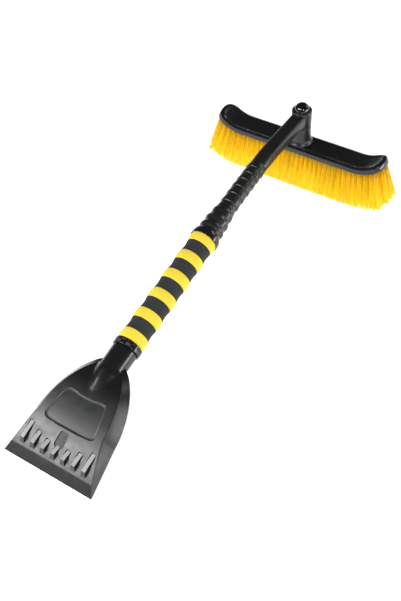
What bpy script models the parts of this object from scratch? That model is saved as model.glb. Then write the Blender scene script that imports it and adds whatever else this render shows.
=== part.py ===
"""Windshield ice scraper with a turning snow brush, built as an assembly.

The blade points to -Y, the brush stands across the +Y end, and +Z is up.  The
tool lies on its blade and its bristle tips, so both touch the plane Z = 0.
"""

import math

import bmesh
import bpy
from mathutils import Matrix, Vector

MM = 0.001
GAP = 0.3 * MM                      # clearance between pieces that touch
WELD = 0.002 * MM

# --- where things stand -----------------------------------------------------
OVERALL_LENGTH = 632 * MM           # blade edge to the far bristle tips
BRISTLE_REACH = 24 * MM             # half the depth of the brush at its tips
PIVOT_Y = OVERALL_LENGTH / 2 - BRISTLE_REACH
EYE_TOP_Z = 120.5 * MM              # rim of the pivot eye
HANDLE_TILT = math.radians(10.5)    # the shaft climbs towards the brush
SCRAPER_TILT = math.radians(19.0)   # the scraper's rim plane is steeper
RIM_BAND = 1.2 * MM                 # upright band all round the scraper's rim
BLADE_Y = RIM_BAND * math.sin(SCRAPER_TILT) - OVERALL_LENGTH / 2
GRIP_START = Vector((0, PIVOT_Y - 435 * MM, 51.7 * MM))

# Shaft frame: local Z runs up the shaft from the start of the foam grip.
HANDLE = Matrix.Translation(GRIP_START) @ Matrix.Rotation(HANDLE_TILT - math.pi / 2, 4, "X")
# Pivot frame: local Z is the brush's turning axis, zero at the eye's rim.
PIVOT = Matrix.Translation((0, PIVOT_Y, EYE_TOP_Z))
# Scraper frame: local Y runs from the blade edge to the neck, Z out of the face.
SCRAPER = Matrix.Translation((0, BLADE_Y, 0)) @ Matrix.Rotation(SCRAPER_TILT, 4, "X")

# --- core tube and foam grip ------------------------------------------------
TUBE_RADIUS = 11.0 * MM
TUBE_WALL = 1.2 * MM
TUBE_START = -46 * MM
TUBE_END = 220 * MM
TUBE_BORE = TUBE_RADIUS + GAP
RING_PITCH = 32.1 * MM              # one yellow and one black foam ring
YELLOW_LENGTH = 14.6 * MM
YELLOW_COUNT = 6
GRIP_LENGTH = (YELLOW_COUNT - 1) * RING_PITCH + YELLOW_LENGTH
FOAM_RADIUS = 17.3 * MM
FOAM_WAVE = 0.85 * MM
FOAM_FLARE = 0.5 * MM               # the last ring opens towards its collar

# --- collars and handle moulding --------------------------------------------
LOWER_COLLAR_LENGTH = 9.2 * MM
LOWER_COLLAR_RADIUS = 18.9 * MM
UPPER_COLLAR_LENGTH = 10.2 * MM
UPPER_COLLAR_RADIUS = 19.7 * MM
COLLAR_LIP = 3.2 * MM               # how far the upper collar reaches over the foam
# Valleys and crests of the three bulges: (distance up the handle, radius) in mm.
BULGES = ((0, 15.8), (6.6, 17.3), (13.1, 15.4), (19.9, 16.6), (26.4, 14.3), (31.6, 14.9),
          (37.1, 13.3), (43.1, 12.2))
BULGE_LENGTH = 44.6 * MM
RIB_PITCH = 12.2 * MM
RIB_COUNT = 6
RIB_ROOT = 11.9 * MM
RIB_STEP = 1.2 * MM
BEND_START = 208 * MM               # distance up the shaft where the arm starts to level
ARM_Z = 108 * MM
ARM_LEVEL_Y = PIVOT_Y - 75 * MM
ARM_HALF_WIDTH = 11.2 * MM
ARM_HALF_HEIGHT = 9.6 * MM

# --- pivot eye and its mechanism, heights below the rim ----------------------
EYE_RADIUS = 14.4 * MM
EYE_HEIGHT = 24.5 * MM
SHELF_DEPTH = 15.0 * MM             # floor of the wide bore
WIDE_BORE = 12.9 * MM
NARROW_BORE = 10.2 * MM
POST_RADIUS = 8.2 * MM
POST_TOP = -11.2 * MM
SPRING_WELL_RADIUS = 5.8 * MM
SPRING_WELL_FLOOR = -24.0 * MM
STEM_RADIUS = 3.4 * MM              # corner radius of the six-sided stem
STEM_END = -33.0 * MM
BUTTON_TRAVEL = 4.0 * MM
DOME_RADIUS = 10.9 * MM
DOME_TOP = 10.5 * MM
SHOULDER = -26.5 * MM               # top of the tower, under the bush's flange
SPIGOT_RADIUS = 12.0 * MM           # the tower's foot, let into the block
SPIGOT_DEPTH = 5.0 * MM

# --- brush ------------------------------------------------------------------
BLOCK_TOP_Z = 66.0 * MM
BLOCK_HEIGHT = 10.0 * MM
BLOCK_HALF_LENGTH = 135 * MM        # measured along the bent block
BLOCK_HALF_WIDTH = 20.0 * MM
BLOCK_CHAMFER = 4.4 * MM
BLOCK_STRAIGHT = 92 * MM            # half length before the ends turn up
BLOCK_BEND_RADIUS = 45 * MM
BLOCK_BEND = math.radians(28)
BRISTLE_LENGTH = BLOCK_TOP_Z - BLOCK_HEIGHT - GAP
BRISTLE_ROWS = 4
ROW_ROOT_PITCH = 9.6 * MM
ROW_TIP_PITCH = 13.4 * MM
ROW_ROOT_DEPTH = 6.6 * MM
ROW_TIP_DEPTH = 2 * BRISTLE_REACH - (BRISTLE_ROWS - 1) * ROW_TIP_PITCH
FAN_SHARE = 0.55                    # share of the block's turn that the bristles follow
SCREW_X = 8.5 * MM                  # tower screws, left and right of the axis
SCREW_HEAD_RADIUS = 3.0 * MM
SCREW_SHANK_RADIUS = 1.5 * MM

# --- scraper ----------------------------------------------------------------
BLADE_HALF = 64.4 * MM
RIM_SHOULDER = (60 * MM, 57.8 * MM)  # distance from the edge, half width
RIM_APEX = 156 * MM
CREASE_FRONT = (13 * MM, 59.0 * MM)
CREASE_SHOULDER = (62 * MM, 46.5 * MM)
CREASE_APEX = 150 * MM
FACE_PEAK = (73.6 * MM, 16.5 * MM)  # distance from the edge, height over the rim plane
FACE_CURVE = 2.32                   # fall of the face from its peak, per metre
SHELL_WALL = 3.0 * MM
TOOTH_COUNT = 7
TOOTH_PITCH = 15.0 * MM
TOOTH_FRONT = 16.0 * MM
TOOTH_HEIGHT = 5.6 * MM
NECK_RADIUS = 17.1 * MM
NECK_START = -LOWER_COLLAR_LENGTH - 2 * GAP


# --- materials --------------------------------------------------------------
def material(name, red, green, blue, roughness, metallic=0.0):
    """A Principled material from linear colour values."""
    made = bpy.data.materials.new(name)
    made.use_nodes = True
    shader = made.node_tree.nodes["Principled BSDF"]
    shader.inputs["Base Color"].default_value = (red, green, blue, 1)
    shader.inputs["Roughness"].default_value = roughness
    shader.inputs["Metallic"].default_value = metallic
    made.diffuse_color = (red, green, blue, 1)
    return made


def make_materials():
    return {
        "abs_black": material("abs_black", 0.022, 0.023, 0.024, 0.38),
        "abs_graphite": material("abs_graphite", 0.075, 0.078, 0.080, 0.42),
        "gloss_black": material("gloss_black", 0.008, 0.008, 0.009, 0.10),
        "foam_yellow": material("foam_yellow", 0.93, 0.74, 0.045, 0.85),
        "foam_black": material("foam_black", 0.040, 0.041, 0.042, 0.90),
        "bristle_yellow": material("bristle_yellow", 0.96, 0.58, 0.010, 0.55),
        "aluminium": material("aluminium", 0.80, 0.81, 0.82, 0.30, 1.0),
        "steel": material("steel", 0.58, 0.57, 0.55, 0.32, 1.0),
        "nylon": material("nylon", 0.75, 0.74, 0.70, 0.45),
    }


# --- mesh helpers -----------------------------------------------------------
def add_object(name, mesh_maker, finish, place=Matrix()):
    """Weld a bmesh, point its faces out and place it as a named object."""
    bmesh.ops.remove_doubles(mesh_maker, verts=mesh_maker.verts, dist=WELD)
    bmesh.ops.recalc_face_normals(mesh_maker, faces=mesh_maker.faces)
    mesh = bpy.data.meshes.new(name)
    mesh_maker.to_mesh(mesh)
    mesh_maker.free()
    mesh.shade_smooth()
    mesh.set_sharp_from_angle(angle=math.radians(35))
    made = bpy.data.objects.new(name, mesh)
    bpy.context.collection.objects.link(made)
    if finish:
        mesh.materials.append(finish)
    made.matrix_world = place
    return made


def lathe(name, profile, finish, place, steps=36):
    """Turn (radius, height) points about local Z.

    A profile that starts and ends on the axis makes a solid, any other is
    closed into a ring.
    """
    maker = bmesh.new()
    points = [maker.verts.new((radius, 0, height)) for radius, height in profile]
    solid = profile[0][0] == 0 and profile[-1][0] == 0
    ends = points[1:] if solid else points[1:] + points[:1]
    edges = [maker.edges.new(pair) for pair in zip(points, ends)]
    bmesh.ops.spin(maker, geom=points + edges, cent=(0, 0, 0), axis=(0, 0, 1),
                   angle=math.tau, steps=steps, use_merge=True)
    return add_object(name, maker, finish, place)


def ladder(name, levels, finish, place=Matrix()):
    """Join outlines, bottom to top, that each hold a left and a right point
    at every station along the piece."""
    maker = bmesh.new()
    rails = [[(maker.verts.new(left), maker.verts.new(right)) for left, right in level]
             for level in levels]
    for rungs, flip in ((rails[0], False), (rails[-1], True)):
        for (left, right), (next_left, next_right) in zip(rungs, rungs[1:]):
            corners = (left, right, next_right, next_left)
            maker.faces.new(corners[::-1] if flip else corners)
    for low, high in zip(rails, rails[1:]):
        for side in (0, 1):
            for index in range(len(low) - 1):
                maker.faces.new((low[index][side], low[index + 1][side],
                                 high[index + 1][side], high[index][side]))
        for end in (0, -1):
            maker.faces.new((low[end][0], low[end][1], high[end][1], high[end][0]))
    return add_object(name, maker, finish, place)


def prism(name, outline, bottom, top, finish=None, place=Matrix()):
    """Extrude a closed outline of (x, y) points from bottom to top."""
    maker = bmesh.new()
    base = maker.faces.new([maker.verts.new((x, y, bottom)) for x, y in outline])
    raised = bmesh.ops.extrude_face_region(maker, geom=[base])["geom"]
    moved = [item for item in raised if isinstance(item, bmesh.types.BMVert)]
    bmesh.ops.translate(maker, verts=moved, vec=(0, 0, top - bottom))
    return add_object(name, maker, finish, place)


def circle(radius, count, start=0.0):
    return [(radius * math.cos(start + math.tau * step / count),
             radius * math.sin(start + math.tau * step / count)) for step in range(count)]


def combine(target, tool, operation):
    """Cut a tool from a piece or join it to the piece; the tool stays a guide."""
    change = target.modifiers.new(f"{operation.lower()}_{tool.name}", "BOOLEAN")
    change.operation = operation
    change.object = tool
    tool.hide_render = True
    tool.display_type = "WIRE"


def rounded_edge(outer, low, high, fillet):
    """The (radius, height) points of a cylinder's side with a rounded top edge."""
    arc = [math.radians(angle) for angle in (0, 30, 60, 90)]
    return [(outer, low)] + [(outer - fillet + fillet * math.cos(angle),
                              high - fillet + fillet * math.sin(angle)) for angle in arc]


# --- screws -----------------------------------------------------------------
def screw(name, finish, place, length, pieces):
    """Pan-head screw and its hole: the head sits at the origin, the shank runs up Z."""
    head, head_height, shank = SCREW_HEAD_RADIUS, 1.8 * MM, SCREW_SHANK_RADIUS
    profile = [(0, length), (shank * 0.4, length - MM), (shank, length - 2.5 * MM), (shank, 0),
               (head, 0), (head, -head_height * 0.6), (head * 0.7, -head_height),
               (0, -head_height)]
    made = lathe(name, profile, finish, place, steps=12)
    recess = 0.5 * MM
    cross = [(-1, -3), (1, -3), (1, -1), (3, -1), (3, 1), (1, 1),
             (1, 3), (-1, 3), (-1, 1), (-3, 1), (-3, -1), (-1, -1)]
    drive = prism(f"{name}_drive_cutter", [(x * recess, y * recess) for x, y in cross],
                  -head_height - MM, -head_height * 0.45, place=place)
    combine(made, drive, "DIFFERENCE")
    blind_end, mouth = length + MM, -8 * MM
    hole = lathe(f"{name}_hole_cutter",
                 [(0, blind_end), (shank + GAP, blind_end), (shank + GAP, GAP),
                  (head + GAP, GAP), (head + GAP, mouth), (0, mouth)],
                 None, place, steps=16)
    for piece in pieces:
        combine(piece, hole, "DIFFERENCE")


# --- scraper ----------------------------------------------------------------
def face_height(distance):
    """Height of the scraper's crowned face over its rim plane."""
    return FACE_PEAK[1] - FACE_CURVE * (distance - FACE_PEAK[0]) ** 2


def ogive(distance, front, shoulder, apex):
    """Half width of an outline: a straight taper, then a pointed arch."""
    if distance <= shoulder[0]:
        share = (distance - front[0]) / (shoulder[0] - front[0])
        return front[1] + share * (shoulder[1] - front[1])
    share = min((distance - shoulder[0]) / (apex - shoulder[0]), 1.0)
    return shoulder[1] * (1 - share ** 1.7) ** (1 / 1.8)


def shield_level(front, shoulder, apex, height, trim=0.0):
    """One outline of the scraper; stations crowd towards the apex."""
    straight = [front[0] + (shoulder[0] - front[0]) * step / 4 for step in range(4)]
    arch = [shoulder[0] + (apex - shoulder[0]) * math.sin(math.pi / 2 * step / 12)
            for step in range(13)]
    level = []
    for distance in straight + arch:
        half = max(ogive(distance, front, shoulder, apex) - trim, 0)
        level.append(((-half, distance, height(distance)), (half, distance, height(distance))))
    return level


def scraper_shell(finish):
    rim = ((0, BLADE_HALF), RIM_SHOULDER, RIM_APEX)
    outer = [shield_level(*rim, lambda distance: 0.0),
             shield_level(*rim, lambda distance: RIM_BAND),
             shield_level(CREASE_FRONT, CREASE_SHOULDER, CREASE_APEX, face_height)]
    shell = ladder("scraper_head", outer, finish, SCRAPER)
    blade_depth = 15 * MM
    roof_front = 24 * MM
    hollow_rim = ((blade_depth, BLADE_HALF - 5.2 * MM),
                  (RIM_SHOULDER[0], RIM_SHOULDER[1] - SHELL_WALL), RIM_APEX - SHELL_WALL)
    hollow_roof = ((roof_front, CREASE_FRONT[1] - 6.5 * MM),
                   (CREASE_SHOULDER[0], CREASE_SHOULDER[1] - SHELL_WALL), CREASE_APEX - 5 * MM)
    hollow = ladder("scraper_hollow_cutter", [
        shield_level(*hollow_rim, lambda distance: -2 * MM),
        shield_level(*hollow_roof, lambda distance: max(face_height(distance) - SHELL_WALL, MM)),
    ], None, SCRAPER)
    combine(shell, hollow, "DIFFERENCE")
    return shell


def tooth(index, shell):
    """A wedge on the face: it rises from its rear end to a blunt front."""
    across = (index - (TOOTH_COUNT - 1) / 2) * TOOTH_PITCH
    outermost = (TOOTH_COUNT - 1) / 2 * TOOTH_PITCH
    rear = (32.5 + 12 * (across / outermost) ** 2) * MM
    crest = TOOTH_FRONT + 5.5 * MM
    sink = 1.5 * MM
    base_half = 3.4 * MM
    top_half = 2.6 * MM
    outline = [(TOOTH_FRONT, -sink), (TOOTH_FRONT, 0.6 * MM), (crest, TOOTH_HEIGHT),
               (rear, 0.9 * MM), (rear + 0.5 * MM, -sink)]
    maker = bmesh.new()
    sides = []
    for side in (-1, 1):
        ring = []
        for distance, rise in outline:
            half = base_half if rise < MM else top_half
            ring.append(maker.verts.new((across + side * half, distance,
                                         face_height(distance) + rise)))
        sides.append(ring)
    maker.faces.new(sides[0])
    maker.faces.new(sides[1][::-1])
    for low in range(len(outline)):
        high = (low + 1) % len(outline)
        maker.faces.new((sides[0][low], sides[0][high], sides[1][high], sides[1][low]))
    made = add_object(f"scraper_tooth_{index + 1}", maker, None, SCRAPER)
    combine(shell, made, "UNION")


def label_panel(shell):
    """The sunken, blank panel on the face; its upper edge is concave."""
    bottom, top, dip = 54 * MM, 100.5 * MM, 4.5 * MM
    low_half, high_half, corner = 38.6 * MM, 28.6 * MM, 5 * MM
    depth, clear = 0.9 * MM, 4 * MM
    outline = []
    corners = [(-low_half, bottom, 180), (low_half, bottom, 270),
               (high_half, top, 0), (-high_half, top, 90)]
    for x, y, start in corners:
        centre_x = x - math.copysign(corner, x)
        centre_y = y + (corner if y == bottom else -corner)
        for step in range(4):
            angle = math.radians(start + 30 * step)
            outline.append((centre_x + corner * math.cos(angle),
                            centre_y + corner * math.sin(angle)))
        if start == 0:
            for step in range(1, 6):
                share = 1 - 2 * step / 6
                outline.append(((high_half - corner) * share, top - dip * (1 - share ** 2)))
    plate = prism("label_panel_cutter", outline, 0, 25 * MM, place=SCRAPER)
    crown = crowned_slab("label_panel_crown", -depth, clear)
    combine(plate, crown, "INTERSECT")
    combine(shell, plate, "DIFFERENCE")


def crowned_slab(name, low, high):
    """A slab that follows the crowned face between two offsets from it."""
    stations = [(26 + 5.5 * step) * MM for step in range(16)]
    half = BLADE_HALF
    levels = [[((-half, distance, face_height(distance) + offset),
                (half, distance, face_height(distance) + offset)) for distance in stations]
              for offset in (low, high)]
    return ladder(name, levels, None, SCRAPER)


def label_pad(shell):
    """The small recessed pad between the teeth and the panel."""
    low, high, low_half, high_half, depth = 31.5 * MM, 50 * MM, 7.0 * MM, 5.7 * MM, 1.4 * MM
    outline = [(-low_half, low), (low_half, low), (high_half, high - 2.5 * MM),
               (high_half - 2.5 * MM, high), (2.5 * MM - high_half, high),
               (-high_half, high - 2.5 * MM)]
    pad = prism("label_pad_cutter", outline, 0, 25 * MM, place=SCRAPER)
    crown = crowned_slab("label_pad_crown", -depth, 4 * MM)
    combine(pad, crown, "INTERSECT")
    combine(shell, pad, "DIFFERENCE")


def neck(shell):
    """The round socket for the shaft, drawn out into a tongue on the face."""
    profile = [(0, NECK_START), (NECK_RADIUS - 0.8 * MM, NECK_START),
               (NECK_RADIUS, NECK_START - 0.8 * MM), (16.4 * MM, -48 * MM),
               (14.6 * MM, -59 * MM), (11.6 * MM, -71 * MM), (8.6 * MM, -81 * MM),
               (5.0 * MM, -87 * MM), (0, -88.5 * MM)]
    socket = lathe("scraper_neck", profile, None, HANDLE, steps=32)
    combine(shell, socket, "UNION")
    bore = lathe("scraper_socket_cutter",
                 [(0, NECK_START + 5 * MM), (TUBE_BORE, NECK_START + 5 * MM),
                  (TUBE_BORE, TUBE_START - GAP), (0, TUBE_START - GAP)], None, HANDLE, steps=24)
    combine(shell, bore, "DIFFERENCE")


def stiffeners(shell):
    """Two ribs under the face, from the blade back towards the neck."""
    half, offset, rib_foot = 1.1 * MM, 30 * MM, 2 * MM
    stations = (12 * MM, 60 * MM, 112 * MM)
    for side, word in ((-1, "left"), (1, "right")):
        sides = (side * offset - half, side * offset + half)
        foot = [[(x, distance, rib_foot) for x in sides] for distance in stations]
        roof = [[(x, distance, face_height(distance) - SHELL_WALL / 2) for x in sides]
                for distance in stations]
        rib = ladder(f"scraper_stiffener_{word}", [foot, roof], None, SCRAPER)
        combine(shell, rib, "UNION")


def radial_place(distance):
    """A frame on the shaft's underside whose Z points in at the shaft axis."""
    return HANDLE @ Matrix.Translation((0, 0, distance)) @ Matrix.Rotation(math.pi / 2, 4, "X")


def radial_screw(name, finish, distance, surface, pieces):
    """A screw that enters from below and holds the tube in its socket."""
    place = radial_place(distance) @ Matrix.Translation((0, 0, -surface))
    screw(name, finish, place, 7.5 * MM, pieces)


# --- shaft and grip ---------------------------------------------------------
def core_tube(finish):
    inner = TUBE_RADIUS - TUBE_WALL
    profile = [(TUBE_RADIUS, TUBE_START), (TUBE_RADIUS, TUBE_END),
               (inner, TUBE_END), (inner, TUBE_START)]
    return lathe("core_tube", profile, finish, HANDLE, steps=24)


def foam_radius(distance):
    """The wavy outside of the grip, with a flare at its upper end."""
    wave = math.cos(math.tau * (distance - YELLOW_LENGTH / 2) / RING_PITCH)
    last_crest = GRIP_LENGTH - YELLOW_LENGTH
    flare = max((distance - last_crest) / YELLOW_LENGTH, 0)
    return FOAM_RADIUS + FOAM_WAVE * wave + FOAM_FLARE * flare ** 2


def foam_ring(name, start, length, finish):
    sides = 3
    low, high = start + GAP / 2, start + length - GAP / 2
    outside = [low + (high - low) * step / sides for step in range(sides + 1)]
    profile = [(foam_radius(distance), distance) for distance in outside]
    profile += [(TUBE_BORE, high), (TUBE_BORE, low)]
    lathe(name, profile, finish, HANDLE, steps=24)


def foam_grip(yellow, black):
    for index in range(YELLOW_COUNT):
        start = index * RING_PITCH
        foam_ring(f"foam_ring_yellow_{index + 1}", start, YELLOW_LENGTH, yellow)
        if index < YELLOW_COUNT - 1:
            foam_ring(f"foam_ring_black_{index + 1}", start + YELLOW_LENGTH,
                      RING_PITCH - YELLOW_LENGTH, black)


def lower_collar(finish):
    """Collar between the neck and the foam, with shallow windows around it."""
    radius, chamfer = LOWER_COLLAR_RADIUS, 0.8 * MM
    low, high = -LOWER_COLLAR_LENGTH - GAP, -GAP
    profile = [(TUBE_BORE, low), (radius - chamfer, low), (radius, low + chamfer),
               (radius, high - chamfer), (radius - chamfer, high), (TUBE_BORE, high)]
    collar = lathe("lower_collar", profile, finish, HANDLE, steps=32)
    windows = bmesh.new()
    count = 8
    for index in range(count):
        turn = Matrix.Rotation(math.tau * (index + 0.5) / count, 4, "Z")
        shift = Matrix.Translation((radius, 0, low + 4.4 * MM))
        size = Matrix.Diagonal((1.6 * MM, 6.0 * MM, 3.4 * MM, 1))
        bmesh.ops.create_cube(windows, size=1, matrix=turn @ shift @ size)
    cutter = add_object("lower_collar_window_cutter", windows, None, HANDLE)
    combine(collar, cutter, "DIFFERENCE")


def upper_collar(finish):
    """Rounded ring whose lip reaches a little way over the end of the foam."""
    low, high = GRIP_LENGTH + GAP, GRIP_LENGTH + GAP + UPPER_COLLAR_LENGTH
    lip_inside = UPPER_COLLAR_RADIUS - 0.8 * MM
    outside = [(-0.4, -3.2), (-0.1, -2.6), (0.0, 0.6), (-0.5, 4.6), (-2.0, 8.2), (-3.3, 10.2)]
    profile = [(TUBE_BORE, low), (lip_inside, low), (lip_inside, low - COLLAR_LIP)]
    profile += [(UPPER_COLLAR_RADIUS + inset * MM, low + rise * MM) for inset, rise in outside]
    profile += [(TUBE_BORE, high)]
    lathe("upper_collar", profile, finish, HANDLE, steps=28)


# --- handle moulding --------------------------------------------------------
def handle_profile():
    """(distance up the shaft, radius) of the bulges and the stepped ribs."""
    start = GRIP_LENGTH + 2 * GAP + UPPER_COLLAR_LENGTH
    stations = []
    for (low, radius), (high, next_radius) in zip(BULGES, BULGES[1:]):
        for share in (0, 1 / 3, 2 / 3):
            ease = share * share * (3 - 2 * share)
            stations.append((start + (low + (high - low) * share) * MM,
                             (radius + (next_radius - radius) * ease) * MM))
    first_rib = start + BULGE_LENGTH
    for index in range(RIB_COUNT):
        low = first_rib + index * RIB_PITCH
        stations += [(low, RIB_ROOT), (low + 1.2 * MM, RIB_ROOT + 0.8 * RIB_STEP),
                     (low + 3.0 * MM, RIB_ROOT + RIB_STEP),
                     (low + 0.92 * RIB_PITCH, RIB_ROOT + 0.1 * MM)]
    return stations, first_rib + RIB_COUNT * RIB_PITCH


def arm_path(distance):
    """Centre point and direction of the handle, by distance up the shaft.

    It is straight, then bends down to the level in a quadratic curve, then
    runs level into the eye.
    """
    along = Vector((0, math.cos(HANDLE_TILT), math.sin(HANDLE_TILT)))
    if distance <= BEND_START:
        return GRIP_START + along * distance, along
    start = GRIP_START + along * BEND_START
    corner = start + along * ((ARM_Z - start.z) / along.z)
    end = Vector((0, ARM_LEVEL_Y, ARM_Z))
    bend_length = (corner - start).length + (end - corner).length
    share = (distance - BEND_START) / bend_length
    if share >= 1:
        return end + Vector((0, distance - BEND_START - bend_length, 0)), Vector((0, 1, 0))
    point = start * (1 - share) ** 2 + corner * (2 * share * (1 - share)) + end * share ** 2
    direction = (corner - start) * (1 - share) + (end - corner) * share
    return point, direction.normalized()


def section(distance, half_width, half_height, squareness, count=24):
    """A ring of points about the handle's centre, from round to squarish."""
    centre, direction = arm_path(distance)
    up = Vector((1, 0, 0)).cross(direction)
    ring = []
    for step in range(count):
        cosine = math.cos(math.tau * (step + 0.5) / count)
        sine = math.sin(math.tau * (step + 0.5) / count)
        across = math.copysign(abs(cosine) ** (2 / squareness), cosine) * half_width
        rise = math.copysign(abs(sine) ** (2 / squareness), sine) * half_height
        ring.append(centre + Vector((across, 0, 0)) + up * rise)
    return ring


def loft(name, rings, finish):
    maker = bmesh.new()
    loops = [[maker.verts.new(point) for point in ring] for ring in rings]
    for low, high in zip(loops, loops[1:]):
        for index in range(len(low)):
            following = (index + 1) % len(low)
            maker.faces.new((low[index], low[following], high[following], high[index]))
    maker.faces.new(loops[0][::-1])
    maker.faces.new(loops[-1])
    return add_object(name, maker, finish)


def handle_arm(finish):
    """Bulges, ribs and arm, hollow where the core tube ends inside."""
    stations, arm_start = handle_profile()
    rings = [section(distance, radius, radius, 2.0) for distance, radius in stations]
    arm = [(arm_start + 1 * MM, 12.2 * MM, 11.6 * MM, 2.2),
           (arm_start + 6 * MM, 12.0 * MM, 10.9 * MM, 2.6),
           (arm_start + 16 * MM, 11.5 * MM, 10.0 * MM, 3.0)]
    arm += [(arm_start + distance * MM, ARM_HALF_WIDTH, ARM_HALF_HEIGHT, 3.2)
            for distance in (34, 54, 74, 94, 112, 128)]
    rings += [section(*station) for station in arm]
    body = loft("handle_arm", rings, finish)
    socket = prism("tube_socket_cutter", circle(TUBE_BORE, 24), stations[0][0] - 5 * MM,
                   TUBE_END + GAP, place=HANDLE)
    combine(body, socket, "DIFFERENCE")
    return body


def pivot_eye(body):
    """The round eye at the arm's end, with its wide bore, shelf and narrow bore."""
    eye_side = rounded_edge(EYE_RADIUS, 0.8 * MM - EYE_HEIGHT, 0, 1.1 * MM)
    eye = lathe("handle_eye", [(0, -EYE_HEIGHT), (EYE_RADIUS - 0.8 * MM, -EYE_HEIGHT)]
                + eye_side + [(0, 0)], None, PIVOT, steps=36)
    combine(body, eye, "UNION")
    over, under = 5 * MM, -EYE_HEIGHT - 5 * MM
    bore = lathe("eye_bore_cutter",
                 [(0, over), (WIDE_BORE, over), (WIDE_BORE, -SHELF_DEPTH),
                  (NARROW_BORE, -SHELF_DEPTH), (NARROW_BORE, under), (0, under)],
                 None, PIVOT, steps=32)
    combine(body, bore, "DIFFERENCE")


# --- pivot ------------------------------------------------------------------
def pivot_bezel(finish):
    """Ring pressed into the eye; its inside is the female friction cone."""
    outer, lip = WIDE_BORE - GAP, DOME_RADIUS + 0.4 * MM
    profile = [(lip, -1.4 * MM), (12.0 * MM, -5.0 * MM), (outer, -5.0 * MM), (outer, 0.1 * MM),
               (outer - 0.4 * MM, 0.5 * MM), (lip + 0.2 * MM, 0.5 * MM), (lip, 0.2 * MM)]
    lathe("pivot_bezel", profile, finish, PIVOT, steps=32)


def pivot_button(finish):
    """Domed button with its male cone, spring seat and six-sided stem."""
    centre = DOME_TOP - DOME_RADIUS
    dome = [(DOME_RADIUS * math.sin(angle), centre + DOME_RADIUS * math.cos(angle))
            for angle in (math.pi / 2 * step / 6 for step in range(1, 7))]
    profile = [(0, DOME_TOP)] + dome
    profile += [(10.9 * MM, -1.4 * MM), (11.65 * MM, -5.3 * MM), (11.65 * MM, -7.5 * MM),
                (9.7 * MM, -7.5 * MM), (9.0 * MM, 0.5 * MM), (7.6 * MM, 2.5 * MM),
                (6.6 * MM, 2.5 * MM), (6.2 * MM, -4.0 * MM), (0, -4.0 * MM)]
    button = lathe("pivot_button", profile, finish, PIVOT, steps=28)
    stem = prism("button_stem", circle(STEM_RADIUS, 6), STEM_END, -2 * MM, place=PIVOT)
    combine(button, stem, "UNION")


def button_spring(finish):
    """Compression spring around the stem, from the well's floor to the button."""
    wire = 0.45 * MM
    low, high = SPRING_WELL_FLOOR + GAP + wire, -4.0 * MM - GAP - wire
    turns, per_turn, mean_radius = 5.5, 12, 4.75 * MM
    count = round(turns * per_turn) + 1
    curve = bpy.data.curves.new("button_spring", "CURVE")
    curve.dimensions = "3D"
    curve.bevel_depth = wire
    curve.bevel_resolution = 1
    curve.use_fill_caps = True
    spline = curve.splines.new("POLY")
    spline.points.add(count - 1)
    for index, point in enumerate(spline.points):
        angle = math.tau * index / per_turn
        height = low + (high - low) * index / (count - 1)
        point.co = (mean_radius * math.cos(angle), mean_radius * math.sin(angle), height, 1)
    curve.materials.append(finish)
    spring = bpy.data.objects.new("button_spring", curve)
    bpy.context.collection.objects.link(spring)
    spring.matrix_world = PIVOT


def pivot_bush(finish):
    """Flanged sleeve between the eye and the tower's post."""
    bore, sleeve, flange = POST_RADIUS + GAP, NARROW_BORE - GAP, EYE_RADIUS - 1.2 * MM
    top, seat = -SHELF_DEPTH, -EYE_HEIGHT - GAP
    bottom = SHOULDER + GAP
    profile = [(bore, top), (bore, bottom), (flange, bottom), (flange, seat),
               (sleeve, seat), (sleeve, top)]
    lathe("pivot_bush", profile, finish, PIVOT, steps=28)


def washer_and_ring(finish):
    """Thrust washer on the eye's shelf and the open retaining ring over it."""
    low, high = -SHELF_DEPTH + GAP, -SHELF_DEPTH + 1.1 * MM
    bore, outer = POST_RADIUS + GAP, 12.4 * MM
    lathe("thrust_washer", [(bore, low), (outer, low), (outer, high), (bore, high)],
          finish, PIVOT, steps=24)
    low, high = high + GAP, high + 1.2 * MM
    inner, outer = POST_RADIUS - 0.8 * MM + GAP, 10.1 * MM
    ring = lathe("retaining_ring", [(inner, low), (outer, low), (outer, high), (inner, high)],
                 finish, PIVOT, steps=24)
    mouth = prism("retaining_ring_mouth_cutter",
                  [(3 * MM, 0), (3 * MM, 15 * MM), (-3 * MM, 15 * MM), (-3 * MM, 0)],
                  low - MM, high + MM, place=PIVOT)
    combine(ring, mouth, "DIFFERENCE")
    return low, high


def pivot_tower(finish, groove):
    """Column under the eye; its post carries the bush, the ring and the spring."""
    groove_radius = POST_RADIUS - 0.8 * MM
    foot = BLOCK_TOP_Z + GAP - EYE_TOP_Z
    spigot = foot - SPIGOT_DEPTH
    profile = [(0, POST_TOP), (POST_RADIUS - 0.5 * MM, POST_TOP),
               (POST_RADIUS, POST_TOP - 0.5 * MM),
               (POST_RADIUS, groove[1] + GAP), (groove_radius, groove[1] + GAP),
               (groove_radius, groove[0] - GAP), (POST_RADIUS, groove[0] - GAP),
               (POST_RADIUS, SHOULDER), (13.6 * MM, SHOULDER), (14.1 * MM, SHOULDER - 0.5 * MM),
               (14.3 * MM, foot + 7 * MM), (14.5 * MM, foot + 3 * MM), (15.3 * MM, foot + MM),
               (15.3 * MM, foot), (SPIGOT_RADIUS, foot), (SPIGOT_RADIUS, spigot), (0, spigot)]
    tower = lathe("pivot_tower", profile, finish, PIVOT, steps=28)
    well = prism("spring_well_cutter", circle(SPRING_WELL_RADIUS, 20), SPRING_WELL_FLOOR,
                 POST_TOP + 5 * MM, place=PIVOT)
    keyway = prism("stem_bore_cutter", circle(STEM_RADIUS + 1.3 * GAP, 6),
                   STEM_END - BUTTON_TRAVEL - 1.5 * MM, SPRING_WELL_FLOOR + MM, place=PIVOT)
    for cutter in (well, keyway):
        combine(tower, cutter, "DIFFERENCE")
    return tower


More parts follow.
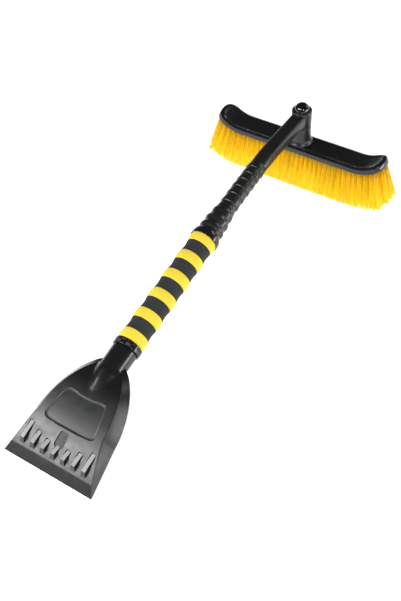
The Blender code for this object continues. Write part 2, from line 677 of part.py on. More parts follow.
# --- brush ------------------------------------------------------------------
def block_path(distance, height):
    """(x, z) of a point on the block: straight, then turned up at both ends.

    distance runs along the block's top from the middle, height is measured
    square to the top.
    """
    reach = abs(distance)
    turn = min(max(reach - BLOCK_STRAIGHT, 0) / BLOCK_BEND_RADIUS, BLOCK_BEND)
    beyond = max(reach - BLOCK_STRAIGHT - BLOCK_BEND * BLOCK_BEND_RADIUS, 0)
    x = min(reach, BLOCK_STRAIGHT) + BLOCK_BEND_RADIUS * math.sin(turn) + beyond * math.cos(turn)
    z = BLOCK_TOP_Z + BLOCK_BEND_RADIUS * (1 - math.cos(turn)) + beyond * math.sin(turn)
    x -= height * math.sin(turn)
    z += height * math.cos(turn)
    return math.copysign(x, distance), z, turn


def block_stations(half_length, half_width):
    """Distances along the block, with the half width of its rounded ends."""
    centre = half_length - half_width
    bend = [BLOCK_STRAIGHT + BLOCK_BEND_RADIUS * BLOCK_BEND * step / 4 for step in range(5)]
    inner = [(distance, half_width) for distance in [24 * MM, 60 * MM] + bend if distance < centre]
    steps = 7
    arc = [(centre + half_width * math.sin(math.pi / 2 * step / steps),
            half_width * math.cos(math.pi / 2 * step / steps)) for step in range(steps + 1)]
    half = inner + arc
    return [(-distance, width) for distance, width in reversed(half)] + half


def block_level(inset, height):
    level = []
    for distance, width in block_stations(BLOCK_HALF_LENGTH - inset, BLOCK_HALF_WIDTH - inset):
        x, z, _ = block_path(distance, height)
        width = max(width, 0)
        level.append(((x, PIVOT_Y - width, z), (x, PIVOT_Y + width, z)))
    return level


def brush_block(finish):
    levels = [block_level(0.6 * MM, -BLOCK_HEIGHT), block_level(0, 0.8 * MM - BLOCK_HEIGHT),
              block_level(0, -0.8 * BLOCK_CHAMFER), block_level(BLOCK_CHAMFER, 0)]
    block = ladder("brush_block", levels, finish)
    place = Matrix.Translation((0, PIVOT_Y, 0))
    spigot = prism("spigot_cutter", circle(SPIGOT_RADIUS + GAP, 28),
                   BLOCK_TOP_Z - SPIGOT_DEPTH, BLOCK_TOP_Z + SPIGOT_DEPTH, place=place)
    combine(block, spigot, "DIFFERENCE")
    return block


def tower_screws(finish, block, tower):
    """Two screws that enter the block from below and hold the tower."""
    for side, word in ((-1, "left"), (1, "right")):
        head = BLOCK_TOP_Z - BLOCK_HEIGHT + 2.4 * MM
        place = Matrix.Translation((side * SCREW_X, PIVOT_Y, head))
        screw(f"tower_screw_{word}", finish, place, 14 * MM, (block, tower))


def bristle_row(index, finish):
    """One row of bristles as a closed solid, fanned out at the block's ends."""
    offset = index - (BRISTLE_ROWS - 1) / 2
    root_y, tip_y = PIVOT_Y + offset * ROW_ROOT_PITCH, PIVOT_Y + offset * ROW_TIP_PITCH
    end_radius = BLOCK_HALF_WIDTH - 1.2 * MM
    edge = abs(offset) * ROW_ROOT_PITCH + ROW_ROOT_DEPTH / 2
    reach = BLOCK_HALF_LENGTH - BLOCK_HALF_WIDTH + math.sqrt(end_radius ** 2 - edge ** 2)
    bend = [BLOCK_STRAIGHT + (reach - BLOCK_STRAIGHT) * step / 8 for step in range(9)]
    half = [30 * MM, 62 * MM] + bend
    stations = [-distance for distance in reversed(half)] + half
    tips, roots = [], []
    for distance in stations:
        x, z, turn = block_path(distance, -BLOCK_HEIGHT - GAP)
        lean = math.copysign(turn * FAN_SHARE, distance)
        tip_x = x + BRISTLE_LENGTH * math.sin(lean)
        tip_z = z - BRISTLE_LENGTH * math.cos(lean)
        roots.append(((x, root_y - ROW_ROOT_DEPTH / 2, z), (x, root_y + ROW_ROOT_DEPTH / 2, z)))
        tips.append(((tip_x, tip_y - ROW_TIP_DEPTH / 2, tip_z),
                     (tip_x, tip_y + ROW_TIP_DEPTH / 2, tip_z)))
    ladder(f"bristle_row_{index + 1}", [tips, roots], finish)


# --- assembly ---------------------------------------------------------------
def clear_scene():
    for item in list(bpy.data.objects):
        bpy.data.objects.remove(item, do_unlink=True)


def build():
    clear_scene()
    finish = make_materials()
    shell = scraper_shell(finish["abs_graphite"])
    stiffeners(shell)
    label_panel(shell)
    label_pad(shell)
    for index in range(TOOTH_COUNT):
        tooth(index, shell)
    neck(shell)
    tube = core_tube(finish["aluminium"])
    lower_collar(finish["abs_black"])
    foam_grip(finish["foam_yellow"], finish["foam_black"])
    upper_collar(finish["abs_black"])
    handle = handle_arm(finish["abs_black"])
    radial_screw("neck_screw", finish["steel"], -30 * MM, 16.0 * MM, (shell, tube))
    radial_screw("arm_screw", finish["steel"], 199 * MM, 15.0 * MM, (handle, tube))
    pivot_eye(handle)
    pivot_bezel(finish["abs_black"])
    pivot_button(finish["gloss_black"])
    button_spring(finish["steel"])
    pivot_bush(finish["nylon"])
    groove = washer_and_ring(finish["steel"])
    tower = pivot_tower(finish["abs_black"], groove)
    block = brush_block(finish["abs_black"])
    tower_screws(finish["steel"], block, tower)
    for index in range(BRISTLE_ROWS):
        bristle_row(index, finish["bristle_yellow"])


build()
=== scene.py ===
"""The looks of a windshield ice scraper with a turning snow brush.

Each section below models one piece, or one group of like pieces, in the order
in which the tool is put together, from the scraper's blade to the bristles.
"""

import math
import random

import bpy
from mathutils import Matrix, Vector


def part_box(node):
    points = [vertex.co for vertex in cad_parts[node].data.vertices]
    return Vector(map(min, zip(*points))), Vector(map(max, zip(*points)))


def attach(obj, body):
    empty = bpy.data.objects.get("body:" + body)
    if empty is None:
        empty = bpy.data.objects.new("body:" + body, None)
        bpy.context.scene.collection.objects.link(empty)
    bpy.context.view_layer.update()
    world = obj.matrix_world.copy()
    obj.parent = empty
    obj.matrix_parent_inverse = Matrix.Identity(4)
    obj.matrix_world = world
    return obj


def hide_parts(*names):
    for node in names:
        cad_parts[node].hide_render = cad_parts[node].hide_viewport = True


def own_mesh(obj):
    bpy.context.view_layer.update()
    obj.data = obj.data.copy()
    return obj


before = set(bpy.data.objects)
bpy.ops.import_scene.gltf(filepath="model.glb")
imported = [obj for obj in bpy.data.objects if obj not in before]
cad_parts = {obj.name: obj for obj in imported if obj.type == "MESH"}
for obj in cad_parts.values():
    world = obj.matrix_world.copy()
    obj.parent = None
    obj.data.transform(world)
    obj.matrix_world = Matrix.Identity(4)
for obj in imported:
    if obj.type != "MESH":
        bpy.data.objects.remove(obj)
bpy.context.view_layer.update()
MM = 0.001

# --- Studio -------------------------------------------------------------------
# The tool lies on a wide sheet of white paper, under soft boxes: two round ones
# beside the lens, a high one over the blade and a long low one on the right.


def tone(code):
    """An sRGB colour in hex as linear red, green, blue and alpha."""
    channels = [int(code[index:index + 2], 16) / 255 for index in (0, 2, 4)]
    return [share / 12.92 if share <= 0.04045 else ((share + 0.055) / 1.055) ** 2.4
            for share in channels] + [1.0]


def add_node(finish, kind, settings=None, inputs=None):
    """Add a shader node; an input is a value, or an output to link it to."""
    node = finish.node_tree.nodes.new("ShaderNode" + kind)
    for name, value in (settings or {}).items():
        setattr(node, name, value)
    for name, value in (inputs or {}).items():
        if isinstance(value, bpy.types.NodeSocket):
            finish.node_tree.links.new(value, node.inputs[name])
        else:
            node.inputs[name].default_value = value
    return node


def blank(name):
    """A material with an empty node tree."""
    finish = bpy.data.materials.new(name)
    finish.use_nodes = True
    finish.node_tree.nodes.clear()
    return finish


def seamless_paper():
    """Matt white paper with a painted pool of light in its colour and emission:
    white round the tool, where the painted glow keeps shadows faint, and greyer farther off."""
    finish = blank("seamless_paper")
    place = add_node(finish, "TexCoord").outputs["Object"]
    pulp = add_node(finish, "TexNoise", {}, {"Vector": place, "Scale": 1 / (60 * MM), "Detail": 4})
    away = add_node(finish, "VectorMath", {"operation": "LENGTH"}, {0: place})
    # painted pool of light: the paper's colour and glow fall from full near the tool to 0.35 farther
    # off
    pool = add_node(finish, "MapRange", {"interpolation_type": "SMOOTHSTEP"}, {
        "Value": away.outputs["Value"], "From Min": 1.2, "From Max": 3.0,
        "To Min": 1.0, "To Max": 0.35})
    colour = add_node(finish, "Mix", {"data_type": "RGBA"},
                      {0: pulp.outputs["Fac"], 6: tone("f4f4f4"), 7: tone("fafafa")})
    lit = add_node(finish, "Mix", {"data_type": "RGBA", "blend_type": "MULTIPLY"},
                   {0: 1.0, 6: colour.outputs[2], 7: pool.outputs["Result"]})
    # the emission is a painted glow that keeps shadows on the paper faint
    shader = add_node(finish, "BsdfPrincipled", {}, {
        "Base Color": lit.outputs[2], "Roughness": 0.95, "Specular IOR Level": 0.1,
        "Emission Color": lit.outputs[2], "Emission Strength": 0.75})
    add_node(finish, "OutputMaterial", {}, {"Surface": shader.outputs[0]})
    return finish


bezel_low, bezel_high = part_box("pivot_bezel")
BEZEL_RISE = 0.5 * MM
eye_rim = Vector((0, (bezel_low.y + bezel_high.y) / 2, bezel_high.z - BEZEL_RISE))

bpy.ops.object.select_all(action="DESELECT")
bpy.ops.object.camera_add(location=eye_rim + Vector((0.4588, -0.9199, 0.7390)),
                          rotation=[math.radians(angle) for angle in (41.83, 2.74, 32.64)])
camera = bpy.context.object
camera.data.lens = 51.5
bpy.context.scene.camera = camera

bpy.ops.mesh.primitive_plane_add(size=40, location=(0, 0, -0.2 * MM))
floor = bpy.context.object
floor.name = "paper_floor"
floor.data.materials.append(seamless_paper())

# name, direction from the tool, distance, width, height, power and shape
soft_boxes = [
    ("lamp_left_of_lens", (0.05, -0.72, 0.70), 1.9, 0.42, 0.42, 11, "DISK"),
    ("lamp_right_of_lens", (0.75, -0.42, 0.52), 1.9, 0.42, 0.42, 11, "DISK"),
    ("box_over_blade", (-0.50, -0.62, 0.62), 1.5, 0.7, 0.5, 18, "RECTANGLE"),
    ("strip_on_right", (0.92, 0.36, 0.10), 1.3, 1.1, 0.12, 8, "RECTANGLE"),
    ("box_behind", (0.40, 0.85, 0.36), 1.9, 0.8, 0.5, 4, "RECTANGLE"),
]
for name, direction, distance, width, height, power, shape in soft_boxes:
    direction = Vector(direction).normalized()
    bpy.ops.object.light_add(type="AREA", location=direction * distance)
    lamp = bpy.context.object
    lamp.name = name
    lamp.data.shape = shape
    lamp.data.size, lamp.data.size_y = width, height
    lamp.data.energy = power
    lamp.rotation_euler = direction.to_track_quat("Z", "Y").to_euler()

room = bpy.data.worlds.new("dim_studio")
room.use_nodes = True
room.node_tree.nodes["Background"].inputs["Color"].default_value = tone("f5f6f8")
room.node_tree.nodes["Background"].inputs["Strength"].default_value = 0.10
bpy.context.scene.world = room
bpy.context.scene.view_settings.view_transform = "Standard"

# --- Scraper ------------------------------------------------------------------
# One moulding of fine-grained graphite ABS: a thin shell with a bevelled blade,
# seven ice-breaking teeth, a sunken blank panel, and a round socket for the
# shaft that runs out into a tongue on the face.


def wrapped(name, across, along, shape, place, finish, sharp=32):
    """Add a grid, move its points to shape(column, row) and close its seams."""
    bpy.ops.object.select_all(action="DESELECT")
    bpy.ops.mesh.primitive_grid_add(x_subdivisions=across, y_subdivisions=along, size=1)
    piece = bpy.context.object
    piece.name = name
    piece.location = (0, 0, 0)
    for point in piece.data.vertices:
        column, row = round((point.co.x + 0.5) * across), round((point.co.y + 0.5) * along)
        point.co = place @ Vector(shape(column, row))
    bpy.ops.object.mode_set(mode="EDIT")
    bpy.ops.mesh.select_all(action="SELECT")
    bpy.ops.mesh.remove_doubles(threshold=0.005 * MM)
    bpy.ops.mesh.normals_make_consistent(inside=False)
    bpy.ops.object.mode_set(mode="OBJECT")
    bpy.ops.object.shade_smooth_by_angle(angle=math.radians(sharp))
    piece.data.materials.append(finish)
    return piece


def turned(name, profile, place, finish, steps=96):
    """Wrap a grid round the Z axis of a frame, as on a lathe."""
    def shape(column, row):
        radius, height = profile[row]
        angle = math.tau * (column % steps) / steps
        return radius * math.cos(angle), radius * math.sin(angle), height
    return wrapped(name, steps, len(profile) - 1, shape, place, finish)


def filleted(corners, closed=False, steps=4):
    """(radius, height) points through corners (radius, height, fillet), in mm."""
    points = []
    count = len(corners)
    for index, (radius, height, fillet) in enumerate(corners):
        here = Vector((radius, height))
        inner = closed or 0 < index < count - 1
        if not fillet or not inner:
            points.append(here * MM)
            continue
        before = Vector(corners[index - 1][:2])
        after = Vector(corners[(index + 1) % count][:2])
        start = here + (before - here).normalized() * fillet
        end = here + (after - here).normalized() * fillet
        for step in range(steps + 1):
            share = step / steps
            points.append((start * (1 - share) ** 2 + here * 2 * share * (1 - share)
                           + end * share ** 2) * MM)
    return points + points[:1] if closed else points


def combine(piece, tool, operation):
    """Cut a tool from a piece, or join it on, and delete the tool."""
    bpy.ops.object.select_all(action="DESELECT")
    bpy.context.view_layer.objects.active = piece
    change = piece.modifiers.new(operation.lower(), "BOOLEAN")
    change.operation = operation
    change.object = tool
    change.solver = "EXACT"
    change.material_mode = "TRANSFER"
    bpy.ops.object.modifier_apply(modifier=change.name)
    bpy.data.objects.remove(tool)


def joined(name, pieces):
    """Join pieces into the first one."""
    bpy.ops.object.select_all(action="DESELECT")
    for piece in pieces:
        piece.select_set(True)
    bpy.context.view_layer.objects.active = pieces[0]
    bpy.ops.object.join()
    pieces[0].name = name
    return pieces[0]


def smooth_by_angle(piece, angle=32):
    bpy.ops.object.select_all(action="DESELECT")
    piece.select_set(True)
    bpy.context.view_layer.objects.active = piece
    bpy.ops.object.shade_smooth_by_angle(angle=math.radians(angle))


def moulded(name, low, high, roughness, grain, relief, gloss_spread=0.05, polish_and_painted_shade=None):
    """Injection-moulded plastic: faint flow clouds in its colour, patchy gloss
    and the fine grain that the spark-eroded mould leaves. polish_and_painted_shade gives
    the Y range over which the mould's grain fades out, the roughness it fades to, and
    the darker colour painted in there: painted shade for the dark reflections of the gloss."""
    finish = blank(name)
    place = add_node(finish, "TexCoord").outputs["Object"]
    clouds = add_node(finish, "TexNoise", {}, {"Vector": place, "Scale": 1 / (28 * MM), "Detail": 3})
    colour = add_node(finish, "Mix", {"data_type": "RGBA"},
                      {0: clouds.outputs["Fac"], 6: tone(low), 7: tone(high)}).outputs[2]
    patches = add_node(finish, "TexNoise", {}, {"Vector": place, "Scale": 1 / (9 * MM), "Detail": 4})
    gloss = add_node(finish, "MapRange", {}, {
        "Value": patches.outputs["Fac"], "From Min": 0.3, "From Max": 0.7,
        "To Min": roughness - gloss_spread, "To Max": roughness + gloss_spread}).outputs["Result"]
    grains = add_node(finish, "TexNoise", {}, {
        "Vector": place, "Scale": 1 / grain, "Detail": 2, "Roughness": 0.6})
    bump = add_node(finish, "Bump", {}, {
        "Strength": 1.0, "Distance": relief, "Height": grains.outputs["Fac"]})
    if polish_and_painted_shade:
        start, end, smooth, painted_dark = polish_and_painted_shade
        along = add_node(finish, "SeparateXYZ", {}, {"Vector": place}).outputs["Y"]
        fade = add_node(finish, "MapRange", {"interpolation_type": "SMOOTHSTEP"}, {
            "Value": along, "From Min": start, "From Max": end}).outputs["Result"]
        gloss = add_node(finish, "Mix", {}, {0: fade, 2: gloss, 3: smooth}).outputs[0]
        # painted shade: the colour also turns darker where the grain fades, standing in for the dark
        # reflections of the gloss
        colour = add_node(finish, "Mix", {"data_type": "RGBA"},
                          {0: fade, 6: colour, 7: tone(painted_dark)}).outputs[2]
        grained = add_node(finish, "MapRange", {}, {"Value": fade, "To Min": 1.0, "To Max": 0.15})
        finish.node_tree.links.new(grained.outputs["Result"], bump.inputs["Strength"])
    shader = add_node(finish, "BsdfPrincipled", {}, {
        "Base Color": colour, "Roughness": gloss, "IOR": 1.54, "Normal": bump.outputs["Normal"]})
    add_node(finish, "OutputMaterial", {}, {"Surface": shader.outputs[0]})
    return finish


def shaft_tilt(low, high):
    """The climb of a tube of known bounds: each end adds its own slanted radius."""
    diameter = high.x - low.x
    tilt = 0.0
    for _ in range(8):
        tilt = math.atan2(high.z - low.z - diameter * math.cos(tilt),
                          high.y - low.y - diameter * math.sin(tilt))
    return tilt


SHAFT_TILT = shaft_tilt(*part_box("core_tube"))
SHAFT_UP = Vector((0, math.cos(SHAFT_TILT), math.sin(SHAFT_TILT)))
YELLOW_LENGTH = 14.6 * MM
first_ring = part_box("foam_ring_yellow_1")
grip_start = (first_ring[0] + first_ring[1]) / 2 - SHAFT_UP * YELLOW_LENGTH / 2
# Shaft frame: Z runs up the shaft from the start of the foam grip.
SHAFT = Matrix.Translation(grip_start) @ Matrix.Rotation(SHAFT_TILT - math.pi / 2, 4, "X")
GAP = 0.3 * MM
TUBE_BORE = 11.3

SCRAPER_TILT = math.radians(19)
RIM_BAND = 1.2
scraper_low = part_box("scraper_head")[0]
blade_y = scraper_low.y + RIM_BAND * MM * math.sin(SCRAPER_TILT)
# Scraper frame: Y runs from the blade edge to the neck, Z out of the face.
SCRAPER = Matrix.Translation((0, blade_y, 0)) @ Matrix.Rotation(SCRAPER_TILT, 4, "X")

# Outlines are (distance from the edge, half width) at the front and at the
# shoulder, then the apex of the pointed arch, all in mm.
RIM = ((0, 64.4), (60, 57.8), 156)
CREASE = ((13, 59.0), (62, 46.5), 150)
FACE_EDGE = ((14.1, 58.1), (62, 45.7), 149)
RIM_INSIDE = ((15, 59.2), (60, 54.8), 153)
ROOF_EDGE = ((24, 52.5), (62, 43.5), 145)
WALL = 3.0
NECK_PROFILE = [(-10.6, 17.1), (-48, 16.4), (-59, 14.6), (-71, 11.6), (-81, 8.6), (-87, 5.0),
                (-88.5, 0)]


def crown(distance):
    """Height of the crowned face over the rim plane, in mm."""
    peak_at, peak, fall = 73.6, 16.5, 0.00232
    return peak - fall * (distance - peak_at) ** 2


def outline(share, front, shoulder, apex):
    """(distance, half width) of an outline: a straight taper, then a pointed arch."""
    straight, shoulder_curve, tip_curve = 0.36, 1.7, 1 / 1.8
    if share <= straight:
        step = share / straight
        return (front[0] + (shoulder[0] - front[0]) * step,
                front[1] + (shoulder[1] - front[1]) * step)
    rise = math.sin(math.pi / 2 * (share - straight) / (1 - straight))
    return (shoulder[0] + (apex - shoulder[0]) * rise,
            shoulder[1] * max(1 - rise ** shoulder_curve, 0) ** tip_curve)


def neck_radius(station):
    """Radius of the neck and its tongue, by station on the shaft, in mm."""
    for (high, wide), (low, narrow) in zip(NECK_PROFILE, NECK_PROFILE[1:]):
        if station >= low:
            share = min((high - station) / (high - low), 1)
            return wide + (narrow - wide) * max(share, 0)
    return 0.0


shaft_in_scraper = SCRAPER.inverted() @ SHAFT
axis_start = shaft_in_scraper.translation / MM
axis_up = shaft_in_scraper.to_3x3() @ Vector((0, 0, 1))
TONGUE_TIP = axis_start.y + NECK_PROFILE[-1][0] * axis_up.y


def face(x, distance):
    """Height of the face: the crown, blended softly into the neck's tongue."""
    plain = crown(distance)
    if distance < TONGUE_TIP:
        return plain
    flank_fall, under_neck = 3, 0.06
    axis_height = axis_start.z + (distance - axis_start.y) * axis_up.z / axis_up.y
    ridge = axis_height
    for _ in range(4):
        station = (distance - axis_start.y) * axis_up.y + (ridge - axis_start.z) * axis_up.z
        radius = neck_radius(station)
        ridge = (axis_height + math.sqrt(max(radius ** 2 - x ** 2, 0)) / axis_up.y
                 - flank_fall * max(abs(x) - radius, 0))
    ridge -= under_neck
    # the hollow where neck and face meet is tight at the tip and wide higher up
    softness = 1.5 + 6.5 * min(max((distance - 106) / 34, 0), 1)
    blend = max(softness - abs(plain - ridge), 0) / softness
    return max(plain, ridge) + blend ** 2 * softness / 4


def scraper_shell(finish):
    """The shell: face, rounded crease, side walls, rim and the hollow's roof."""
    across, along, bands, crease_round = 96, 104, 9, 0.9

    def border(column, row):
        side = 2 * column / across - 1
        share = row / along
        inner, crease, rim, rim_inside, roof = (
            outline(share, *line) for line in (FACE_EDGE, CREASE, RIM, RIM_INSIDE, ROOF_EDGE))
        return [Vector((side * half, distance)) for distance, half in
                (inner, crease, rim, rim_inside, roof)]

    def shape(column, row):
        column, row = column - bands, row - bands
        band = max(-column, column - across, -row, 0)
        flat, crease, rim, rim_inside, roof = border(min(max(column, 0), across), max(row, 0))
        start = Vector((*flat, face(*flat)))
        corner = Vector((*crease, crown(crease.y)))
        foot = Vector((*rim, RIM_BAND))
        down = corner + (foot - corner).normalized() * crease_round
        if band <= 4:
            share = band / 4
            spot = start * (1 - share) ** 2 + corner * 2 * share * (1 - share) + down * share ** 2
        elif band == 5:
            spot = (down + foot) / 2
        elif band == 6:
            spot = foot
        elif band == 7:
            spot = Vector((*rim, 0))
        elif band == 8:
            spot = Vector((*rim_inside, 0))
        else:
            spot = Vector((*roof, crown(roof.y) - WALL))
        return spot * MM

    def ceiling(column, row):
        roof = border(column, row)[4]
        return Vector((*roof, crown(roof.y) - WALL)) * MM

    outside = wrapped("shell_outside", across + 2 * bands, along + bands, shape, SCRAPER, finish)
    inside = wrapped("shell_ceiling", across, along, ceiling, SCRAPER, finish)
    shell = joined("scraper_shell", [outside, inside])
    bpy.ops.object.mode_set(mode="EDIT")
    bpy.ops.mesh.select_all(action="SELECT")
    bpy.ops.mesh.remove_doubles(threshold=0.005 * MM)
    bpy.ops.mesh.normals_make_consistent(inside=False)
    bpy.ops.object.mode_set(mode="OBJECT")
    return shell


def cutter(name, middle, edge, levels, finish, around=96):
    """A closed tool over the face: levels are (share of the outline, how far the
    outline grows, height over the crown), bottom first; edge gives the outline."""
    def shape(column, row):
        share, grow, level = levels[row]
        angle = math.tau * (column % around) / around
        spot = middle + (edge(angle, grow) - middle) * share
        if callable(level):
            level = level(spot.y)
        return Vector((*spot, crown(spot.y) + level)) * MM

    return wrapped(name, around, len(levels) - 1, shape, SCRAPER, finish)


def soft_box(angle, power):
    """A point on a square with rounded corners, from -1 to 1 each way."""
    across, up = math.cos(angle), math.sin(angle)
    return (math.copysign(abs(across) ** power, across), math.copysign(abs(up) ** power, up))


def recess_pad(shell, finish):
    """Sink the small stippled pad steeply into the face."""
    low, high, low_half, high_half, depth = 31.5, 50, 7.0, 5.7, 1.4

    def edge(angle, grow):
        across, up = soft_box(angle, 0.36)
        tall = (up + 1) / 2
        return Vector((across * (low_half + (high_half - low_half) * tall + grow),
                       low - grow + (high - low + 2 * grow) * tall))

    pad = cutter("pad_cutter", Vector((0, (low + high) / 2)), edge,
                 [(0, 0, -depth), (0.5, 0, -depth), (1, -0.1, -depth), (1, 0.1, 0.2), (1, 0.1, 4),
                  (0, 0, 4)], finish)
    combine(shell, pad, "DIFFERENCE")


def sink_panel(shell, finish):
    """Sink the blank panel by a gentle lip; its upper edge is concave."""
    low, high, dip, low_half, high_half, depth = 54.0, 100.5, 4.5, 38.6, 28.6, 0.9

    def edge(angle, grow):
        across, up = soft_box(angle, 0.30)
        tall = (up + 1) / 2
        bottom = low - grow
        top = high - dip * (1 - across ** 2) + grow
        return Vector((across * (low_half + (high_half - low_half) * tall + grow),
                       bottom + (top - bottom) * tall))

    lip = [(1, -0.9, -depth), (1, -0.6, -depth * 0.86), (1, -0.3, -depth * 0.5),
           (1, 0, -depth * 0.14), (1, 0.3, 0.02), (1, 0.4, 4)]
    panel = cutter("panel_cutter", Vector((0, 76)), edge,
                   [(step / 12, -0.9, -depth) for step in range(12)] + lip + [(0, 0, 4)],
                   finish, around=240)
    combine(shell, panel, "DIFFERENCE")


def sink_tooth(shell, across, rear, finish):
    """Each tooth rises out of a narrow pocket with steep walls."""
    low, high, half, depth = 18.5, rear + 1.1, 4.0, 2.0

    def edge(angle, grow):
        side, up = soft_box(angle, 0.4)
        return Vector((across + side * half, (low + high) / 2 + up * (high - low) / 2))

    def floor_level(distance):
        return -depth * min(max((distance - low) / 9, 0), 1) + 0.02

    pocket = cutter("pocket_cutter", Vector((across, (low + high) / 2)), edge,
                    [(0, 0, floor_level), (0.5, 0, floor_level), (1, 0, floor_level), (1, 0, 4),
                     (0, 0, 4)], finish, around=48)
    combine(shell, pocket, "DIFFERENCE")


def tooth(name, across, rear, finish, rubbed):
    """A wedge with soft edges: blunt front, crest, and a long flat back."""
    front, crest, height, sink = 16.3, 21.3, 5.6, 2.2
    base_half, top_half = 3.2, 2.65
    lines = [(front, -sink, base_half), (front + 0.2, 0.4, base_half), (crest, height, top_half),
             ((crest + rear) / 2, height / 2 - 0.3, top_half), (rear, -0.7, top_half),
             (rear + 0.3, -sink, top_half)]

    def shape(column, row):
        distance, rise, half = lines[row]
        side = (-1, -1, 1, 1)[column % 4]
        if column % 4 in (0, 3):
            rise, half = -sink, base_half
        return Vector((across + side * half, distance, crown(distance) + rise)) * MM

    wedge = wrapped(name, 4, len(lines) - 1, shape, SCRAPER, finish)
    close_ends(wedge)
    soft = wedge.modifiers.new("soft_edges", "BEVEL")
    soft.width, soft.segments, soft.limit_method = 0.45 * MM, 3, "ANGLE"
    soft.angle_limit = math.radians(28)
    bpy.ops.object.modifier_apply(modifier=soft.name)
    wedge.data.materials.append(rubbed)
    up = SCRAPER.to_3x3() @ Vector((0, 0, 1))
    # the up-facing flat tops take the pale painted highlight
    for flat in wedge.data.polygons:
        if flat.normal.dot(up) > 0.8 and flat.area > (2 * MM) ** 2:
            flat.material_index = 1
    return wedge


def close_ends(piece):
    """Fill the two open ends of a wrapped strip."""
    bpy.ops.object.mode_set(mode="EDIT")
    bpy.ops.mesh.select_all(action="DESELECT")
    bpy.ops.mesh.select_non_manifold()
    bpy.ops.mesh.edge_face_add()
    bpy.ops.mesh.select_all(action="SELECT")
    bpy.ops.mesh.normals_make_consistent(inside=False)
    bpy.ops.object.mode_set(mode="OBJECT")


def stiffener(side, finish):
    """One of the two ribs under the face."""
    offset, foot_height = 30, 2
    stations = [12 + 10 * step for step in range(11)]

    def shape(column, row):
        distance = stations[row]
        x = side * offset + (-1.1, -0.6, 0.6, 1.1)[column % 4]
        foot = column % 4 in (1, 2)
        return Vector((x, distance, foot_height if foot else crown(distance) - WALL / 2)) * MM

    rib = wrapped("stiffener", 4, len(stations) - 1, shape, SCRAPER, finish)
    close_ends(rib)
    return rib


def screw_hole(piece, node):
    """Sink a round counterbore into a piece where a screw's head sits."""
    low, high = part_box(node)
    middle, head_radius, offset = (low + high) / 2, 3.4 * MM, 1.2 * MM
    direction = SHAFT.to_3x3() @ Vector((0, 1, 0))
    bpy.ops.object.select_all(action="DESELECT")
    bpy.ops.mesh.primitive_cylinder_add(
        vertices=40, radius=head_radius, depth=16 * MM, location=middle - direction * offset,
        rotation=direction.to_track_quat("Z", "Y").to_euler())
    combine(piece, bpy.context.object, "DIFFERENCE")


def scraper_neck(finish):
    """The round socket; the tube goes into its upper end."""
    mouth, shoulder = NECK_PROFILE[0]
    tube_foot = -46.3
    corners = [(0, tube_foot, 0), (TUBE_BORE, tube_foot, 0), (TUBE_BORE, mouth + 0.5, 0.3),
               (shoulder, mouth + 0.5, 0.9)]
    corners += [(radius, station, 3.0 if station > -85 else 0)
                for station, radius in NECK_PROFILE[1:]]
    neck = turned("scraper_neck", filleted(corners), SHAFT, finish)
    screw_hole(neck, "neck_screw")
    return neck


# Graphite ABS from a spark-eroded mould: a soft sheen on the face that turns into a smoother
# gloss along the hand-polished neck, where the colour is painted a deeper black as painted shade.
graphite = moulded("spark_grained_graphite_abs", "202121", "272828", 0.36, 0.6 * MM, 0.020 * MM,
                   polish_and_painted_shade=(blade_y + 84 * MM, blade_y + 112 * MM, 0.25, "121213"))
# The same ABS, coarsely stippled in the pad: duller and darker than the face.
stipple = moulded("stippled_pad_abs", "262725", "343532", 0.55, 0.9 * MM, 0.24 * MM)
# The same ABS, painted pale and silky on the flat tops of the teeth that face up: a painted highlight.
rubbed = moulded("tooth_top_painted_highlight_abs", "9a9b99", "b0b1af", 0.34, 0.8 * MM, 0.010 * MM)
TOOTH_COUNT, TOOTH_PITCH = 7, 15.0
shell = scraper_shell(graphite)
recess_pad(shell, stipple)
sink_panel(shell, graphite)
pieces = [shell, scraper_neck(graphite), stiffener(-1, graphite), stiffener(1, graphite)]
for index in range(TOOTH_COUNT):
    across = (index - 3) * TOOTH_PITCH
    rear = 32.5 + 12 * (across / 45) ** 2       # the outer teeth are longer
    sink_tooth(shell, across, rear, graphite)
    pieces.append(tooth(f"tooth_{index}", across, rear, graphite, rubbed))
scraper = joined("scraper_moulding", pieces)
smooth_by_angle(scraper)
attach(scraper, "tool")
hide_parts("scraper_head")

# --- Tube and screws ----------------------------------------------------------
# Drawn aluminium tube inside the grip, and zinc-plated pan-head screws that hold
# it in its sockets. The shapes are simple, so the frame's own solids stay.


def drawn_metal(name, low, high, roughness, pitch):
    """Bare metal with the fine lines that a die or a lathe leaves."""
    finish = blank(name)
    place = add_node(finish, "TexCoord").outputs["Object"]
    lines = add_node(finish, "TexNoise", {}, {"Vector": place, "Scale": 1 / pitch, "Detail": 5})
    colour = add_node(finish, "Mix", {"data_type": "RGBA"},
                      {0: lines.outputs["Fac"], 6: tone(low), 7: tone(high)})
    gloss = add_node(finish, "MapRange", {}, {
        "Value": lines.outputs["Fac"], "To Min": roughness - 0.08, "To Max": roughness + 0.08})
    bump = add_node(finish, "Bump", {}, {
        "Strength": 0.5, "Distance": 0.02 * MM, "Height": lines.outputs["Fac"]})
    shader = add_node(finish, "BsdfPrincipled", {}, {
        "Base Color": colour.outputs[2], "Metallic": 1.0, "Roughness": gloss.outputs["Result"],
        "Normal": bump.outputs["Normal"]})
    add_node(finish, "OutputMaterial", {}, {"Surface": shader.outputs[0]})
    return finish


def refinish(nodes, finish):
    """Give the frame's own solids a finish."""
    for node in nodes:
        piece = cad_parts[node]
        piece.data.materials.clear()
        piece.data.materials.append(finish)


